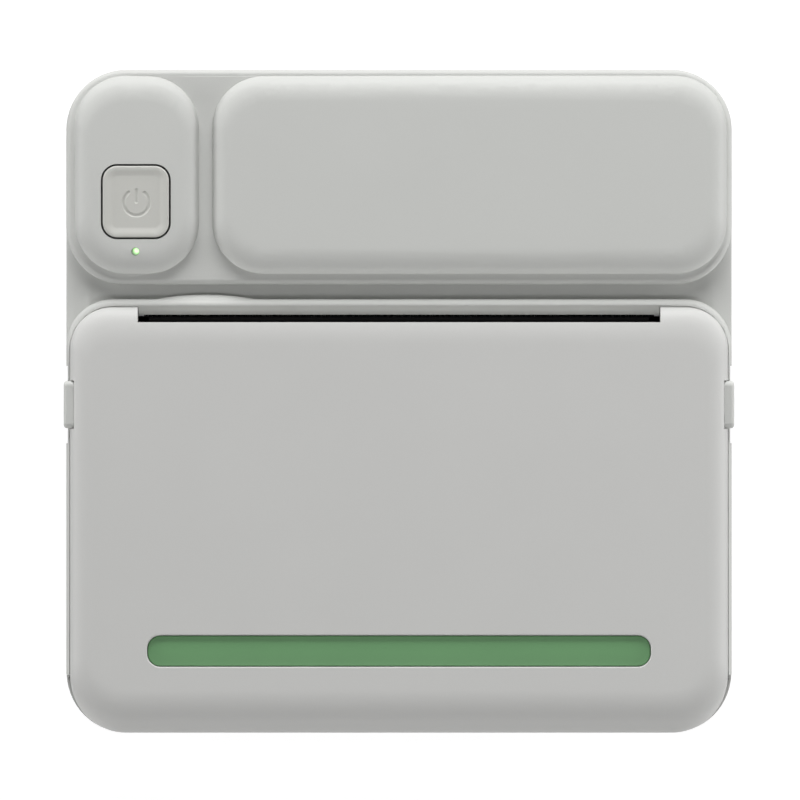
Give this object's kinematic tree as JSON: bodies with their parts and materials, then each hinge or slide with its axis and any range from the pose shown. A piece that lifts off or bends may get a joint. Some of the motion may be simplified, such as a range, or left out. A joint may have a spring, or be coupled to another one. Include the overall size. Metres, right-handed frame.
{
  "type": "thermal receipt printer",
  "caption": "Square desktop thermal printer on its back: head plate with two raised pods and a power button, paper slot, hinged curved roll cover with a green strip, side tabs.",
  "frame": {"origin": "centre of the body's plan, on the surface that its four feet stand on", "axes": "+X across the paper, +Y towards the head end, +Z out of the face"},
  "size_m": [0.147, 0.1456, 0.049],
  "materials": {
    "case_plastic": "fine satin grain",
    "cover_plastic": "fine satin grain",
    "button_plastic": "satin",
    "green_plastic": "soft gloss",
    "pad_rubber": "matt",
    "platen_rubber": "ground matt",
    "screw_steel": "zinc plated",
    "shaft_steel": "ground",
    "frame_steel": "plated sheet",
    "spring_steel": "drawn wire",
    "blade_steel": "blackened",
    "sink_aluminium": "extruded",
    "head_ceramic": "glazed",
    "gear_plastic": "moulded",
    "pinion_brass": "machined",
    "liner_plastic": "moulded",
    "guide_plastic": "moulded",
    "board_laminate": "solder mask",
    "chip_plastic": "moulded",
    "port_steel": "plated",
    "pipe_clear": "lit pale green",
    "lamp_body": "lit",
    "ribbon_film": "film",
    "pack_wrap": "shrink wrap"
  },
  "bodies": {
    "base": {"rear_housing": "case_plastic", "foot_pads": "pad_rubber", "case_screws": "screw_steel", "front_housing": "case_plastic", "hinge_pins": "shaft_steel", "idler_axle": "shaft_steel", "stepper_motor": "frame_steel", "motor_screws": "screw_steel", "mechanism_frame": "frame_steel", "frame_screws": "screw_steel", "head_pivot_pin": "shaft_steel", "head_springs": "spring_steel", "head_ribbon": "ribbon_film", "tear_bar": "blade_steel", "roll_bay": "liner_plastic", "bay_screws": "screw_steel", "paper_sensor": "chip_plastic", "power_switch": "chip_plastic", "light_pipe": "pipe_clear", "status_lamp": "lamp_body", "main_board": "board_laminate", "board_components": "chip_plastic", "board_screws": "screw_steel", "usb_port": "port_steel", "battery_pack": "pack_wrap"},
    "cover": {"roll_cover": "cover_plastic", "accent_strip": "green_plastic", "platen_carrier": "liner_plastic", "carrier_screws": "screw_steel", "platen_bushings": "gear_plastic", "tab_spring_left": "spring_steel", "tab_spring_right": "spring_steel"},
    "platen": {"platen_shaft": "shaft_steel", "platen_rubber": "platen_rubber", "platen_gear": "gear_plastic"},
    "idler": {"idler_gear": "gear_plastic"},
    "pinion": {"motor_pinion": "pinion_brass", "motor_shaft": "shaft_steel"},
    "print_head": {"printhead_ceramic": "head_ceramic", "printhead_heatsink": "sink_aluminium"},
    "tab_left": {"release_tab_left": "case_plastic"},
    "tab_right": {"release_tab_right": "case_plastic"},
    "button": {"power_button": "button_plastic", "switch_plunger": "chip_plastic"},
    "guide_left": {"guide_left": "guide_plastic"},
    "guide_right": {"guide_right": "guide_plastic"},
    "guide_pinion": {"guide_pinion": "gear_plastic"}
  },
  "joints": [
    {"name": "cover_hinge", "type": "hinge", "parent": "base", "child": "cover", "pos_m": [0, -0.06915, 0.029], "axis": [1, 0, 0], "range_deg": [0, 95]},
    {"name": "platen_spin", "type": "hinge", "parent": "cover", "child": "platen", "pos_m": [0, 0.0116, 0.0345], "axis": [1, 0, 0], "continuous": true},
    {"name": "idler_spin", "type": "hinge", "parent": "base", "child": "idler", "pos_m": [0.0673, 0.01227, 0.02497], "axis": [1, 0, 0], "continuous": true},
    {"name": "pinion_spin", "type": "hinge", "parent": "base", "child": "pinion", "pos_m": [0.0688, 0.01318, 0.01196], "axis": [1, 0, 0], "continuous": true},
    {"name": "printhead_tilt", "type": "hinge", "parent": "base", "child": "print_head", "pos_m": [0, 0.0215, 0.0264], "axis": [-1, 0, 0], "range_deg": [0, 1.5], "stiffness_Nm_per_rad": 0.2, "springref_deg": -5.73, "deforming": ["head_springs"]},
    {"name": "power_button_press", "type": "slide", "parent": "base", "child": "button", "axis": [0, 0, -1], "range_m": [0, 0.0005], "stiffness_N_per_m": 1500, "springref_m": -0.0003},
    {"name": "tab_left_press", "type": "slide", "parent": "cover", "child": "tab_left", "axis": [1, 0, 0], "range_m": [0, 0.0015], "stiffness_N_per_m": 800, "springref_m": -0.001, "deforming": ["tab_spring_left"]},
    {"name": "tab_right_press", "type": "slide", "parent": "cover", "child": "tab_right", "axis": [-1, 0, 0], "range_m": [0, 0.0015], "stiffness_N_per_m": 800, "springref_m": -0.001, "deforming": ["tab_spring_right"]},
    {"name": "guide_left_slide", "type": "slide", "parent": "base", "child": "guide_left", "axis": [1, 0, 0], "range_m": [0, 0.0285]},
    {"name": "guide_right_slide", "type": "slide", "parent": "base", "child": "guide_right", "axis": [-1, 0, 0], "range_m": [0, 0.0285]},
    {"name": "guide_pinion_spin", "type": "hinge", "parent": "base", "child": "guide_pinion", "pos_m": [0, -0.008, 0.02], "axis": [0, 0, 1], "range_deg": [0, 292]}
  ],
  "couplings": [
    {"joint": "idler_spin", "follows": "platen_spin", "ratio": -1.375},
    {"joint": "pinion_spin", "follows": "platen_spin", "ratio": 4.5833},
    {"joint": "guide_right_slide", "follows": "guide_left_slide", "ratio": 1},
    {"joint": "guide_pinion_spin", "follows": "guide_left_slide", "rad_per_m": 178.57}
  ]
}
